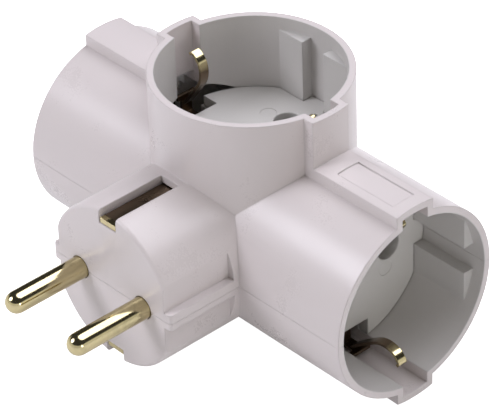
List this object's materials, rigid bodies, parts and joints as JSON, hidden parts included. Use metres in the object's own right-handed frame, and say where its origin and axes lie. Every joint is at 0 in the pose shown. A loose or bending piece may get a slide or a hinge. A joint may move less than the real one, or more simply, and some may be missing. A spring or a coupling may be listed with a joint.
{
  "type": "triple socket adapter",
  "caption": "Earthed mains plug that branches into round recessed sockets facing left, right and up, with sprung earth clips, for a side-earthed wall socket.",
  "frame": {"origin": "centre of the plug's flat face, midway between the two pins", "axes": "+Y from the plug face into the adapter, so the pins point along -Y; +X along the two side sockets, to the right one; +Z out of the top socket"},
  "size_m": [0.0928, 0.0792, 0.0574],
  "materials": {
    "shell_plastic": "satin",
    "plate_plastic": "satin",
    "brass": "polished",
    "screw_steel": "satin"
  },
  "bodies": {
    "root": {"upper_shell": "shell_plastic", "lower_shell": "shell_plastic", "top_socket_plate": "plate_plastic", "right_socket_plate": "plate_plastic", "left_socket_plate": "plate_plastic", "live_pin": "brass", "neutral_pin": "brass", "live_bar": "brass", "neutral_bar": "brass", "earth_bar": "brass", "plug_earth_bow": "brass", "top_live_contact": "brass", "top_neutral_contact": "brass", "top_earth_bow": "brass", "right_live_contact": "brass", "right_neutral_contact": "brass", "right_earth_bow": "brass", "left_live_contact": "brass", "left_neutral_contact": "brass", "left_earth_bow": "brass", "shell_screw_1": "screw_steel", "shell_screw_2": "screw_steel", "shell_screw_3": "screw_steel"}
  },
  "joints": []
}
